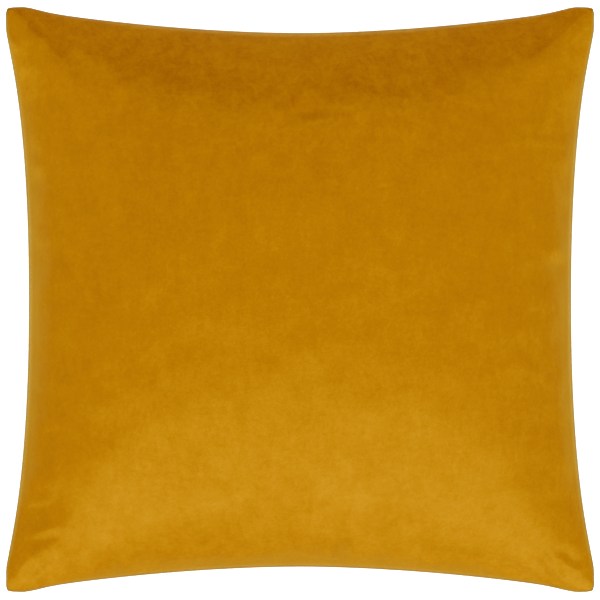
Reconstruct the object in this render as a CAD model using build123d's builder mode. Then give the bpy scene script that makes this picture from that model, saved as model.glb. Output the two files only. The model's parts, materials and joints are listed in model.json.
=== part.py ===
"""A square knife-edge throw pillow with a zipped velvet cover, lying on its back panel.

+Z is up and the front panel faces it. The origin is on the surface that the pillow rests on, under
its middle. The cover's two panels meet in one flat seam plane, and the zip runs along the edge that
faces -Y. A stuffed cover pulls in between its corners, so each edge is one long arc, and the zip,
its tapes and its slider follow the arc of their edge, about a centre out in front of the pillow.
"""

import os
from math import cos, degrees, pi, sin, sqrt

from build123d import *

os.makedirs("parts", exist_ok=True)

# The stuffed cover's outline in the seam plane: corner to corner, and how far the edges pull in
span_x = 440.0
span_y = 438.0
pull_in_x = 17.0
pull_in_y = 20.0
corner_radius = 4.0

# Heights: the back is full_drop deep, and flat where it rests
seam_height = 62.0
front_rise = 72.0
back_full_drop = 70.0

# Velvet cover: its cloth's thickness at the crown and, across the pile, at the edge
velvet = 1.2
velvet_at_edge = 1.6
seam_allowance = 12.0

# Shape of a stuffed half: where sections are put, and how they shrink and round towards the crown
section_count = 9
last_level = 0.975
cover_fullness = 1.5
pad_plumpness = 1.0688
corner_slimming = 1 / 3
corner_rounding = 0.45

# Seam stitching
thread_height = 0.4
thread_width = 0.8
seam_line_inset = 6.0

# Zip: a coil on the outward face of each tape, and room between the coils for the slider's web
zip_length = 366.0
tape_end = 4.0
tape_thickness = 0.5
tape_leg = 8.0
coil_diameter = 1.5
stop_length = 2.4
stop_size = 1.8

# Slider and its tab
slider_length = 10.0
slider_flange = 0.95
slider_shoulder = 0.4
slider_corner = 0.8
slider_plate = 0.9
running_gap = 0.25
slider_side_gap = 0.3
slider_end_gap = 0.3
web_width = 0.6
web_length = 2.6
web_gap = 0.3
bridge_length = 6.4
bridge_width = 1.8
bridge_bar = 0.9
bridge_fillet = 0.4
pin_radius = 0.5
pin_gap = 0.2
tab_length = 22.0
tab_width = 5.0
tab_thickness = 1.1
tab_gap = 0.2
tab_window_gap = 0.4
tab_swing_room = 1.8
tab_hole_radius = 1.2

# Zip opening: two folded lips that stand further out than the slider's bridge
lip_cover = 2.95
opening_end_gap = 3.0
tab_end_gap = 2.7
tack_length = 1.8
tack_thickness = 1.4
tack_gap = 0.4

# Care label: a folded satin strip sewn into the left seam, turned up beside the pad
label_width = 35.0
label_cloth = 0.4
label_rise = 9.0
label_y = -60.0
label_past_seam = 1.6
label_gap = 1.7
label_room = 3.2

# Inner pad: a light casing round its filling
pad_edge_gap = 2.0
pad_gap = 1.0
casing = 0.6
casing_at_edge = 1.0
filling_gap = 0.3
pad_corner_radius = 12.0
closing_length = 150.0
pad_thread_height = 0.8

# Across the zip: the web sets the tapes and coils apart, and the slider sets the lips apart
tape_spacing = web_width + 2 * web_gap
coil_spacing = tape_spacing + coil_diameter
flange_inside = coil_spacing / 2 + coil_diameter / 2 + running_gap
slider_waist = 2 * (flange_inside + slider_flange)
slider_width = slider_waist + 2 * slider_shoulder
lip_height = slider_width / 2 + slider_side_gap + tape_thickness
lip_gap = 2 * lip_height

# Out from the tapes: the slider's outer plate, then the bridge with the tab's pin in it
plate_foot = coil_diameter + running_gap
plate_top = plate_foot + slider_plate
bridge_opening = tab_thickness + 2 * tab_gap
pin_height = plate_top + bridge_opening / 2
pin_offset = pin_radius + pin_gap + bridge_bar - bridge_length / 2

# In from the edge: the tapes, the folds that they are sewn to, and the pad behind everything
tape_depth = plate_top + bridge_opening + bridge_bar + lip_cover
fold_depth = tape_depth + tape_leg
zip_stitch_depth = tape_depth + tape_leg / 2
overlock_depth = seam_allowance + thread_width
pad_inset = max(fold_depth, overlock_depth + label_room) + pad_edge_gap

# The pad is fuller than the cover, by as much as its inset from the cover's inside leaves room for
widest = max(span_x / 2 - pull_in_x, span_y / 2 - pull_in_y)
pad_room = (widest - velvet_at_edge) / (widest - pad_inset)
pad_fullness = cover_fullness * pad_plumpness * pad_room**2

# Along the zip: past its open end the tapes and the opening run on, so that the tab lies free there
tab_reach = tab_length - pin_offset - slider_length / 2 - slider_end_gap + tab_end_gap
tab_tail = tab_reach - tape_end - opening_end_gap
tape_length = zip_length + tab_tail + 2 * tape_end
opening_length = tape_length + 2 * opening_end_gap
closed_end = (zip_length + tab_tail) / 2
open_end = closed_end - zip_length

# The zip edge is an arc about this centre, and so is everything that follows the edge
edge_radius = ((span_x / 2) ** 2 + pull_in_y**2) / (2 * pull_in_y)
side_radius = ((span_y / 2) ** 2 + pull_in_x**2) / (2 * pull_in_x)
edge_centre_y = -(span_y / 2 - pull_in_y + edge_radius)
side_centre_x = span_x / 2 - pull_in_x + side_radius
edge_axis = Axis((0, edge_centre_y, 0), (0, 0, 1))


def outline(height, half_x, half_y, mid_x, mid_y, radius):
    """A face with four arcs for sides and rounded corners, at one height."""
    with BuildSketch(Plane.XY.offset(height)) as section:
        with BuildLine():
            ThreePointArc((half_x, -half_y), (mid_x, 0), (half_x, half_y))
            ThreePointArc((half_x, half_y), (0, mid_y), (-half_x, half_y))
            ThreePointArc((-half_x, half_y), (-mid_x, 0), (-half_x, -half_y))
            ThreePointArc((-half_x, -half_y), (0, -mid_y), (half_x, -half_y))
        make_face()
        fillet(section.vertices(), radius)
    return section.sketch


def stuffed_half(way, rise, inset=0.0, fullness=cover_fullness, tip=corner_radius, floor=0.0):
    """Half of a stuffed square, from the seam plane up (way 1) or down (way -1) to its crown."""
    half_x = span_x / 2 - inset
    half_y = span_y / 2 - inset
    mid_x = half_x - pull_in_x
    mid_y = half_y - pull_in_y
    sections = []
    for step in range(section_count + 1):
        level = last_level * sin(pi / 2 * step / section_count)
        middle = sqrt(1 - level**fullness)
        corner = middle * (1 - corner_slimming * level)
        height = seam_height + way * rise * level / last_level
        radius = tip + corner_rounding * level * middle * mid_x
        sections.append(
            outline(height, half_x * corner, half_y * corner, mid_x * middle, mid_y * middle, radius)
        )
    with BuildPart() as half:
        loft(sections=sections)
        split(bisect_by=Plane.XY.offset(floor), keep=Keep.TOP)
    return half.part


def inset_outline(height, depth):
    """The cover's outline at a constant depth behind all four edges."""
    with BuildSketch(Plane.XY.offset(height)) as section:
        Rectangle(span_x, span_y)
        with Locations((0, edge_centre_y), (0, -edge_centre_y)):
            Circle(edge_radius + depth, mode=Mode.SUBTRACT)
        with Locations((side_centre_x, 0), (-side_centre_x, 0)):
            Circle(side_radius + depth, mode=Mode.SUBTRACT)
    return section.sketch


def seam_ring(near, far, low, high):
    """A flat ring between two depths behind the edges and two heights about the seam plane."""
    with BuildPart() as ring:
        extrude(inset_outline(seam_height + low, near), amount=high - low)
        extrude(inset_outline(seam_height + low, far), amount=high - low, mode=Mode.SUBTRACT)
    return ring.part


def edge_band(near, far, length, low, high):
    """A bar along the zip edge between two depths behind it and two heights about the seam plane."""
    reach = degrees(length / 2 / edge_radius)
    with BuildPart() as band:
        with BuildSketch(Plane((0, edge_centre_y, seam_height + low))):
            with BuildLine():
                behind = CenterArc((0, 0), edge_radius + far, 90 - reach, 2 * reach)
                ahead = CenterArc((0, 0), edge_radius + near, 90 - reach, 2 * reach)
                Line(ahead @ 0, behind @ 0)
                Line(ahead @ 1, behind @ 1)
            make_face()
        extrude(amount=high - low)
    return band.part


def zip_place(along, height=0.0):
    """A plane on the tapes' outward face: x runs along the zip, y points up and z outward."""
    turn = along / (edge_radius + tape_depth)
    foot = (edge_radius + tape_depth) * Vector(sin(turn), cos(turn), 0)
    origin = foot + Vector(0, edge_centre_y, seam_height + height)
    return Plane(origin, x_dir=(cos(turn), -sin(turn), 0), z_dir=(-sin(turn), -cos(turn), 0))


# The zip opening cuts both panels, both seam allowances and the stitching along them
opening = edge_band(-pull_in_y, fold_depth + thread_width, opening_length, -lip_height, lip_height)
front_outside = stuffed_half(1, front_rise)
back_outside = stuffed_half(-1, back_full_drop)

# Front panel: a thin stuffed shell, its seam allowance, and the fold that makes the upper lip
with BuildPart() as front_allowance:
    add(seam_ring(velvet_at_edge / 2, seam_allowance, 0, velvet))
    add(front_outside, mode=Mode.INTERSECT)

with BuildPart() as cover_front_panel:
    add(front_outside)
    add(stuffed_half(1, front_rise - velvet, velvet_at_edge), mode=Mode.SUBTRACT)
    add(front_allowance)
    add(opening, mode=Mode.SUBTRACT)
    add(edge_band(0, fold_depth, opening_length, lip_height, lip_height + velvet))
cover_front_panel.part.label = "cover_front_panel"
export_step(cover_front_panel.part, "parts/cover_front_panel.step")

# Back panel: the same with the lower lip, and flat where it rests
with BuildPart() as back_allowance:
    add(seam_ring(velvet_at_edge / 2, seam_allowance, -velvet, 0))
    add(back_outside, mode=Mode.INTERSECT)

with BuildPart() as cover_back_panel:
    add(back_outside)
    add(
        stuffed_half(-1, back_full_drop - velvet, velvet_at_edge, floor=velvet),
        mode=Mode.SUBTRACT,
    )
    add(back_allowance)
    add(opening, mode=Mode.SUBTRACT)
    add(edge_band(0, fold_depth, opening_length, -lip_height - velvet, -lip_height))
cover_back_panel.part.label = "cover_back_panel"
export_step(cover_back_panel.part, "parts/cover_back_panel.step")

# Lockstitch: one line of thread on each side of the two seam allowances
with BuildPart() as cover_seam_thread:
    for low in (velvet, -velvet - thread_height):
        add(seam_ring(seam_line_inset, seam_line_inset + thread_width, low, low + thread_height))
    add(opening, mode=Mode.SUBTRACT)
cover_seam_thread.part.label = "cover_seam_thread"
export_step(cover_seam_thread.part, "parts/cover_seam_thread.step")

# Overlock: thread wrapped round the allowances' cut edges
with BuildPart() as cover_overlock_thread:
    wrap = velvet + thread_height
    add(seam_ring(seam_allowance, overlock_depth, -wrap, wrap))
    add(opening, mode=Mode.SUBTRACT)
cover_overlock_thread.part.label = "cover_overlock_thread"
export_step(cover_overlock_thread.part, "parts/cover_overlock_thread.step")

# Zip tapes, coils and the stitching that holds each tape to its fold
for side, way in (("front", 1), ("back", -1)):
    edges = sorted((way * tape_spacing / 2, way * lip_height))
    fold = sorted((way * (lip_height - tape_thickness), way * lip_height))
    with BuildPart() as zip_tape:
        add(edge_band(tape_depth, tape_depth + tape_thickness, tape_length, *edges))
        add(edge_band(tape_depth, fold_depth, tape_length, *fold))
    zip_tape.part.label = f"zip_tape_{side}"
    export_step(zip_tape.part, f"parts/zip_tape_{side}.step")

    chain_end = zip_place(closed_end, way * coil_spacing / 2)
    with BuildPart() as zip_coil:
        with BuildSketch(Plane(chain_end.origin, x_dir=chain_end.z_dir, z_dir=-chain_end.x_dir)):
            with Locations((coil_diameter / 2, 0)):
                Circle(coil_diameter / 2)
        revolve(axis=edge_axis, revolution_arc=degrees(zip_length / (edge_radius + tape_depth)))
    zip_coil.part.label = f"zip_coil_{side}"
    export_step(zip_coil.part, f"parts/zip_coil_{side}.step")

    stitch_height = lip_height - tape_thickness
    stitch = sorted((way * (stitch_height - thread_height), way * stitch_height))
    stitch_end = zip_stitch_depth + thread_width
    with BuildPart() as zip_stitching:
        add(edge_band(zip_stitch_depth, stitch_end, tape_length, *stitch))
    zip_stitching.part.label = f"zip_stitching_{side}"
    export_step(zip_stitching.part, f"parts/zip_stitching_{side}.step")

# Bar tacks: thread from lip to lip at each end of the opening
tack_back = tape_depth - tack_gap
tack_front = tack_back - tack_thickness
with BuildPart() as zip_bar_tacks:
    add(edge_band(tack_front, tack_back, opening_length, -lip_height, lip_height))
    between_tacks = opening_length - 2 * tack_length
    add(edge_band(0, fold_depth, between_tacks, -lip_gap, lip_gap), mode=Mode.SUBTRACT)
zip_bar_tacks.part.label = "zip_bar_tacks"
export_step(zip_bar_tacks.part, "parts/zip_bar_tacks.step")

# Stops: one on each tape at the closed end, and one across both at the other end
with BuildPart() as zip_top_stops:
    with BuildSketch(zip_place(closed_end + stop_length / 2)):
        with Locations((0, coil_spacing / 2), (0, -coil_spacing / 2)):
            RectangleRounded(stop_length, stop_size, stop_size / 4)
    extrude(amount=stop_size)
zip_top_stops.part.label = "zip_top_stops"
export_step(zip_top_stops.part, "parts/zip_top_stops.step")

with BuildPart() as zip_bottom_stop:
    with BuildSketch(zip_place(open_end - stop_length / 2)):
        RectangleRounded(stop_length, coil_spacing + stop_size, stop_size / 4)
    extrude(amount=stop_size)
zip_bottom_stop.part.label = "zip_bottom_stop"
export_step(zip_bottom_stop.part, "parts/zip_bottom_stop.step")

# Slider: two plates joined by a web that runs between the coils, with a bridge for the tab
slider_place = zip_place(closed_end - slider_end_gap - slider_length / 2)
inner_plate_foot = -(tape_thickness + running_gap + slider_plate)
with BuildPart() as zip_slider_body:
    with BuildSketch(slider_place.offset(running_gap)) as shoe:
        with BuildLine():
            Polyline(
                (-slider_length / 2, -slider_waist / 2),
                (0, -slider_width / 2),
                (slider_length / 2, -slider_width / 2),
                (slider_length / 2, slider_width / 2),
                (0, slider_width / 2),
                (-slider_length / 2, slider_waist / 2),
                close=True,
            )
        make_face()
        fillet(shoe.vertices(), slider_corner)
    extrude(amount=plate_top - running_gap)
    with BuildSketch(slider_place.offset(running_gap)):
        Rectangle(slider_length, 2 * flange_inside)
    extrude(amount=plate_foot - running_gap, mode=Mode.SUBTRACT)
    with BuildSketch(slider_place.offset(inner_plate_foot)):
        add(shoe.sketch_local)
    extrude(amount=slider_plate)
    with BuildSketch(slider_place.offset(inner_plate_foot)):
        with Locations((slider_length / 2 - web_length, 0)):
            Rectangle(web_length, web_width)
    extrude(amount=plate_top - inner_plate_foot)
    with BuildSketch(slider_place.offset(plate_top)):
        Rectangle(bridge_length, bridge_width)
    extrude(amount=bridge_opening + bridge_bar)
    with BuildSketch(slider_place.offset(plate_top)):
        Rectangle(bridge_length - 2 * bridge_bar, bridge_width)
    extrude(amount=bridge_opening, mode=Mode.SUBTRACT)
    bridge_top = zip_slider_body.faces().sort_by(Axis(slider_place.origin, slider_place.z_dir))[-1]
    fillet(bridge_top.edges(), bridge_fillet)
zip_slider_body.part.label = "zip_slider_body"
export_step(zip_slider_body.part, "parts/zip_slider_body.step")

# Pull tab: its pin runs through the bridge, and its window leaves the bridge free as it turns
tab_foot = pin_height - tab_thickness / 2
tab_head = pin_radius
window_width = bridge_width + 2 * tab_window_gap
window_length = pin_radius + pin_gap + bridge_bar + tab_swing_room
with BuildPart() as zip_pull_tab:
    with BuildSketch(slider_place.offset(tab_foot)):
        with Locations((pin_offset + tab_head - (tab_head + tab_length) / 2, 0)):
            RectangleRounded(tab_head + tab_length, tab_width, tab_thickness / 2)
        with Locations((pin_offset + tab_head - (tab_head + window_length) / 2, 0)):
            Rectangle(tab_head + window_length, window_width, mode=Mode.SUBTRACT)
        with Locations((pin_offset - tab_length + tab_width / 2, 0)):
            Circle(tab_hole_radius, mode=Mode.SUBTRACT)
    extrude(amount=tab_thickness)
    pin_place = Plane(
        slider_place.from_local_coords(Vector(pin_offset, -tab_width / 2, pin_height)),
        x_dir=slider_place.x_dir,
        z_dir=slider_place.y_dir,
    )
    with BuildSketch(pin_place):
        Circle(pin_radius)
    extrude(amount=tab_width)
zip_pull_tab.part.label = "zip_pull_tab"
export_step(zip_pull_tab.part, "parts/zip_pull_tab.step")

# Care label, folded double: sewn on the left seam allowance, then turned up beside the pad
label_edge_x = -(side_centre_x - sqrt(side_radius**2 - label_y**2))
label_turn_x = label_edge_x + overlock_depth + label_gap
label_start_x = label_edge_x + seam_line_inset - label_past_seam
label_foot = seam_height + velvet + thread_height
with BuildPart() as care_label:
    with BuildSketch(Plane((0, label_y, 0), x_dir=(1, 0, 0), z_dir=(0, -1, 0))):
        with BuildLine():
            Polyline(
                (label_start_x, label_foot),
                (label_turn_x, label_foot),
                (label_turn_x, label_foot + label_rise),
                (label_turn_x - label_cloth, label_foot + label_rise),
                (label_turn_x - label_cloth, label_foot + label_cloth),
                (label_start_x, label_foot + label_cloth),
                close=True,
            )
        make_face()
    extrude(amount=label_width / 2, both=True)
care_label.part.label = "care_label"
export_step(care_label.part, "parts/care_label.step")

# Pad casing: two thin shells inside the cover, and the filling inside them
for side, way, full_rise in (("front", 1, front_rise), ("back", -1, back_full_drop)):
    pad_rise = full_rise - velvet - pad_gap
    pad_floor = velvet + pad_gap
    with BuildPart() as pad_casing:
        add(stuffed_half(way, pad_rise, pad_inset, pad_fullness, pad_corner_radius, pad_floor))
        add(
            stuffed_half(
                way,
                pad_rise - casing,
                pad_inset + casing_at_edge,
                pad_fullness,
                pad_corner_radius,
                pad_floor + casing,
            ),
            mode=Mode.SUBTRACT,
        )
    pad_casing.part.label = f"pad_casing_{side}"
    export_step(pad_casing.part, f"parts/pad_casing_{side}.step")

filling_inset = pad_inset + casing_at_edge + filling_gap
shrink = velvet + pad_gap + casing + filling_gap
with BuildPart() as pad_filling:
    for way, full_rise in ((1, front_rise), (-1, back_full_drop)):
        add(
            stuffed_half(
                way, full_rise - shrink, filling_inset, pad_fullness, pad_corner_radius, shrink
            )
        )
pad_filling.part.label = "pad_filling"
export_step(pad_filling.part, "parts/pad_filling.step")

# Pad seam: thread round the casing's edge, with one stretch closed last, after filling
pad_half_x = span_x / 2 - pad_inset
pad_half_y = span_y / 2 - pad_inset
thread_foot = seam_height - pad_thread_height / 2
pad_outlines = [
    outline(
        thread_foot,
        pad_half_x + outward,
        pad_half_y + outward,
        pad_half_x - pull_in_x + outward,
        pad_half_y - pull_in_y + outward,
        pad_corner_radius + outward,
    )
    for outward in (thread_width, 0)
]
with BuildPart() as pad_edge_ring:
    extrude(pad_outlines[0], amount=pad_thread_height)
    extrude(pad_outlines[1], amount=pad_thread_height, mode=Mode.SUBTRACT)
with BuildPart() as closing_stretch:
    with Locations((0, pad_half_y, seam_height)):
        Box(closing_length, pad_half_y, 2 * pad_thread_height)

with BuildPart() as pad_seam_thread:
    add(pad_edge_ring)
    add(closing_stretch, mode=Mode.SUBTRACT)
pad_seam_thread.part.label = "pad_seam_thread"
export_step(pad_seam_thread.part, "parts/pad_seam_thread.step")

with BuildPart() as pad_closing_stitch:
    add(pad_edge_ring)
    add(closing_stretch, mode=Mode.INTERSECT)
pad_closing_stitch.part.label = "pad_closing_stitch"
export_step(pad_closing_stitch.part, "parts/pad_closing_stitch.step")

# The slider turns about the edge's centre, and the tab about its pin
slider_room = zip_length - slider_length - 2 * slider_end_gap
slider_travel = degrees(slider_room / (edge_radius + tape_depth))
pin_middle = slider_place.from_local_coords(Vector(pin_offset, 0, pin_height))
print("zip slide axis at y", round(edge_centre_y, 3), "travel", round(slider_travel, 3), "degrees")
print("tab pin at", [round(value, 3) for value in pin_middle])
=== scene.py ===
"""A velvet throw pillow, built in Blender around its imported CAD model.

Sizes are in metres, with +Z up and the pillow lying on its back panel. The cover's two panels are
cloth cut as flat squares. Their rims are pinned to the stuffed cover's outline, whose edges pull in
between the corners, and cloth simulation blows the panels up from there.
"""

import json
import math

import bpy
import numpy as np
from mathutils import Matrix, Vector


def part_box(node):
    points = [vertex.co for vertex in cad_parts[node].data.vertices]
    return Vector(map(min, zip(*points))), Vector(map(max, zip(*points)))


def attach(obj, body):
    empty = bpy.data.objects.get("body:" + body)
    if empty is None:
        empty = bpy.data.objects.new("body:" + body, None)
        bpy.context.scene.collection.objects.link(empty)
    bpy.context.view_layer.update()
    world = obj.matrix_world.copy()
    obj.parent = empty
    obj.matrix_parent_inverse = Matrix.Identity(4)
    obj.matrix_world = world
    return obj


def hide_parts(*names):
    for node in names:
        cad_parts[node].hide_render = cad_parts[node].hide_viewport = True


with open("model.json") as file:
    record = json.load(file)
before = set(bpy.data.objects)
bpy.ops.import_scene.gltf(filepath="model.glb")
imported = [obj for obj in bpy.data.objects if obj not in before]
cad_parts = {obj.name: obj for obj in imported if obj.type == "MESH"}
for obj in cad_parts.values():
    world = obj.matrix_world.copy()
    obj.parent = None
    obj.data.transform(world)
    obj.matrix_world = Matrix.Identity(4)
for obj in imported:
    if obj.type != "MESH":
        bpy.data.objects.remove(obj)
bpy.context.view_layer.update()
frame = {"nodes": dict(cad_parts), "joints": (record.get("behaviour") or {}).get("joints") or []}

# ---------------------------------------------------------------- sizes
cover_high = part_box("cover_front_panel")[1]
HALF_X = cover_high.x
HALF_Y = cover_high.y

# The zip's edge is an arc about the axis that its slider turns on
slide = next(joint for joint in frame["joints"] if joint["name"] == "zip_slide")
ARC_Y = slide["pos_m"][1]
SEAM = slide["pos_m"][2]
ZIP_EDGE_Y = 0.199
EDGE_RADIUS = -ZIP_EDGE_Y - ARC_Y

# How far each edge pulls in between the corners, and how full its curve is
SIDE_PULL, SIDE_POWER = 0.0171, 2.2
TOP_PULL, ZIP_PULL, END_POWER = 0.0194, HALF_Y - ZIP_EDGE_Y, 1.8
# Small ears beside the corner tips: how far out, how far from the tip and how sharp
SIDE_EAR = (0.0028, 0.0186, 1.0)
END_EAR = (0.0022, 0.0149, 3.0)

CORNER_RADIUS = 0.0038

# The velvet: its thickness, the cover's flat size between its seams, and the allowance beyond them
CLOTH = 0.0011
FLAT = 0.452
ALLOWANCE = 0.012

# How far the rims stand off the seam plane, and how much further along the zip
RIM_RISE = 0.0009
ZIP_RISE = 0.0029
# The allowances' near and far faces off the seam plane, and how much further the zip's lips stand
ALLOWANCE_GAP = 0.00005
ALLOWANCE_TOP = 0.0012
LIP_RISE = 0.0030
FOLD_RISE = 0.00465
FLOOR_GAP = 0.0002

# Depths behind the edge, and half of the zip opening's length
TAPE_DEPTH = 0.008
LIP_DEPTH = 0.016
OPENING = 0.197

# The simulated grid's cells along each side, its crown at the start and its number of steps
CELLS = 96
START_CROWN = 0.062
SIM_STEPS = 20


# ---------------------------------------------------------------- meshes
def mesh_piece(name, points, faces):
    """A new smooth object with one mesh, in the scene."""
    mesh = bpy.data.meshes.new(name)
    mesh.from_pydata(np.asarray(points, float).tolist(), [], [tuple(map(int, f)) for f in faces])
    mesh.update()
    mesh.polygons.foreach_set("use_smooth", [True] * len(mesh.polygons))
    piece = bpy.data.objects.new(name, mesh)
    bpy.context.scene.collection.objects.link(piece)
    return piece


def bake(piece):
    """Applies every modifier on a piece."""
    graph = bpy.context.evaluated_depsgraph_get()
    baked = bpy.data.meshes.new_from_object(piece.evaluated_get(graph))
    piece.modifiers.clear()
    old = piece.data
    piece.data = baked
    bpy.data.meshes.remove(old)
    baked.name = piece.name
    baked.polygons.foreach_set("use_smooth", [True] * len(baked.polygons))


def thicken(piece, thickness, offset):
    """Gives a sheet its thickness."""
    solid = piece.modifiers.new("thickness", "SOLIDIFY")
    solid.thickness = thickness
    solid.offset = offset
    bake(piece)


def grid_faces(rows, columns, flip=False):
    """The quads of a grid of points stored row after row."""
    k = np.arange(rows * columns).reshape(rows, columns)
    quads = np.stack([k[:-1, :-1], k[:-1, 1:], k[1:, 1:], k[1:, :-1]], -1).reshape(-1, 4)
    return quads[:, ::-1] if flip else quads


def rim_order(count):
    """The rim of a grid, counterclockwise from its first point."""
    k = np.arange(count * count).reshape(count, count)
    return np.concatenate([k[0, :-1], k[:-1, -1], k[-1, :0:-1], k[:0:-1, 0]])


def unit(vectors):
    """The same directions, each one long."""
    return vectors / np.maximum(np.linalg.norm(vectors, axis=-1, keepdims=True), 1e-12)


def tubes(name, strands, radius, up, sides=6):
    """Threads: strands has one row of points for each, and radius one size for each point."""
    strands = np.asarray(strands, float)
    count, length, _ = strands.shape
    radius = np.broadcast_to(radius, (length,))
    along = unit(np.gradient(strands, axis=1))
    side = unit(np.cross(along, np.broadcast_to(up, strands.shape)))
    lift = np.cross(side, along)
    turn = np.arange(sides) / sides * 2 * np.pi
    round_ = np.cos(turn)[:, None] * side[:, :, None] + np.sin(turn)[:, None] * lift[:, :, None]
    points = strands[:, :, None] + radius[None, :, None, None] * round_
    k = np.arange(count * length * sides).reshape(count, length, sides)
    after = np.roll(k, -1, axis=2)
    quads = np.stack([k[:, :-1], k[:, 1:], after[:, 1:], after[:, :-1]], -1).reshape(-1, 4)
    caps = [k[s, 0] for s in range(count)] + [k[s, -1][::-1] for s in range(count)]
    return mesh_piece(name, points.reshape(-1, 3), list(quads) + caps)


# ---------------------------------------------------------------- the cover's outline
def edge_line(t, half_along, half_out, pull, power, ear):
    """How far out an edge stands, from one tip (t = -1) to the other (t = 1)."""
    size, place, sharp = ear
    inward = pull * (1 - np.abs(t) ** power)
    ratio = (1 - np.abs(t)) * half_along / place
    return half_out - inward + np.minimum(size * (ratio * np.exp(1 - ratio)) ** sharp, inward)


def plan(a, b, inset=0.0):
    """The place in plan of (a, b), which run from -1 to 1 across the cover."""
    from_side = (1 - np.abs(a)) * HALF_X
    from_end = (1 - np.abs(b)) * HALF_Y
    a = np.asarray(a, float) * (1 - inset / (HALF_X - SIDE_PULL))
    b = np.asarray(b, float) * (1 - inset / ZIP_EDGE_Y)
    x = a * edge_line(b, HALF_Y, HALF_X, SIDE_PULL, SIDE_POWER, SIDE_EAR)
    top = edge_line(a, HALF_X, HALF_Y, TOP_PULL, END_POWER, END_EAR)
    zip_side = edge_line(a, HALF_X, HALF_Y, ZIP_PULL, END_POWER, END_EAR)
    y = (1 + b) / 2 * top - (1 - b) / 2 * zip_side
    # Round the tips: a point at most one radius from a tip moves onto the corner's arc
    near = np.minimum(from_side, from_end)
    past = np.minimum(np.abs(from_side - from_end), CORNER_RADIUS)
    turn = np.pi / 4 * (1 - past / CORNER_RADIUS)
    fade = np.clip(1 - near / (2 * CORNER_RADIUS), 0, 1)
    inward = CORNER_RADIUS * (1 - np.cos(turn)) * fade
    sideways = (CORNER_RADIUS * (1 - np.sin(turn)) - past) * fade
    at_side = from_side <= from_end
    x = x - np.sign(a) * np.where(at_side, inward, sideways)
    y = y - np.sign(b) * np.where(at_side, sideways, inward)
    return x, y


def smooth_step(value):
    value = np.clip(value, 0, 1)
    return value * value * (3 - 2 * value)


def zip_share(x, b):
    """1 along the zip opening and 0 elsewhere, for a point of the edge."""
    return smooth_step((0.2005 - np.abs(x)) / 0.006) * np.clip(1 - (b + 1) * 6, 0, 1)


def zip_point(along, depth, height):
    """A point that follows the zip's arc, at a depth behind the edge and a height off the seam."""
    along, depth, height = np.broadcast_arrays(
        np.asarray(along, float), np.asarray(depth, float), np.asarray(height, float)
    )
    turn = along / (EDGE_RADIUS + TAPE_DEPTH)
    reach = EDGE_RADIUS + depth
    return np.stack([reach * np.sin(turn), ARC_Y + reach * np.cos(turn), SEAM + height], -1)


# ---------------------------------------------------------------- cloth simulation
def waves(x, y, seed, count, shortest, longest, size):
    """Soft random lumps."""
    draw = np.random.default_rng(seed)
    total = np.zeros_like(x)
    for _ in range(count):
        way = draw.uniform(0, np.pi)
        pitch = 2 * np.pi / draw.uniform(shortest, longest)
        start = draw.uniform(0, 2 * np.pi)
        total += np.sin(pitch * (x * np.cos(way) + y * np.sin(way)) + start)
    return total * size / count**0.5


def blown_panel(way):
    """A panel of the cover as a grid of points, stuffed by cloth simulation."""
    t = np.linspace(-1, 1, CELLS + 1)
    a, b = np.meshgrid(t, t)
    x, y = plan(a, b)
    crown = START_CROWN * ((1 - a**2) * (1 - b**2)) ** 0.5
    rise = RIM_RISE + ZIP_RISE * zip_share(x, b) + crown
    lumps = waves(x, y, 7 if way > 0 else 8, 24, 0.02, 0.06, 0.0006)
    rise = rise + lumps * (crown / START_CROWN) ** 0.5
    start = np.dstack([x, y, SEAM + way * rise])
    flat = np.dstack([a * FLAT / 2, b * FLAT / 2, 0 * a])
    count = CELLS + 1
    cloth = mesh_piece("cloth", start.reshape(-1, 3), grid_faces(count, count, way < 0))
    cloth.shape_key_add(name="Basis")
    cut = cloth.shape_key_add(name="cut", from_mix=False)
    cut.data.foreach_set("co", flat.astype(np.float32).ravel())
    cloth.vertex_groups.new(name="seam").add(rim_order(count).tolist(), 1.0, "REPLACE")
    modifier = cloth.modifiers.new("cloth", "CLOTH")
    s = modifier.settings
    s.quality = 6
    s.mass = 0.0003
    s.tension_stiffness = 40
    s.compression_stiffness = 10
    s.shear_stiffness = 13
    s.bending_stiffness = 1.0
    s.tension_damping = 5
    s.compression_damping = 5
    s.shear_damping = 5
    s.bending_damping = 0.5
    s.air_damping = 2
    s.use_pressure = True
    s.uniform_pressure_force = 190
    s.fluid_density = 0
    s.vertex_group_mass = "seam"
    s.rest_shape_key = cut
    s.effector_weights.gravity = 0
    modifier.collision_settings.use_collision = way < 0
    modifier.collision_settings.distance_min = 0.001
    modifier.collision_settings.collision_quality = 3
    modifier.point_cache.frame_end = SIM_STEPS
    for step in range(1, SIM_STEPS + 1):
        bpy.context.scene.frame_set(step)
    shown = cloth.evaluated_get(bpy.context.evaluated_depsgraph_get()).data
    result = np.empty(len(shown.vertices) * 3, np.float32)
    shown.vertices.foreach_get("co", result)
    bpy.data.objects.remove(cloth)
    bpy.context.scene.frame_set(1)
    return result.reshape(count, count, 3).astype(float)


def finer(points):
    """Doubles a grid's rows with the four-point rule."""
    first = 2 * points[:1] - points[1:2]
    last = 2 * points[-1:] - points[-2:-1]
    padded = np.concatenate([first, points, last])
    middle = (9 * (padded[1:-2] + padded[2:-1]) - padded[:-3] - padded[3:]) / 16
    doubled = np.empty((2 * len(points) - 1,) + points.shape[1:])
    doubled[::2] = points
    doubled[1::2] = middle
    return doubled


def grid_normals(points, way):
    """The outward normals of a grid, for the front panel (way 1) or the back (way -1)."""
    across = np.gradient(points, axis=1)
    up = np.gradient(points, axis=0)
    return unit(np.cross(across, up)) * way


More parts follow.
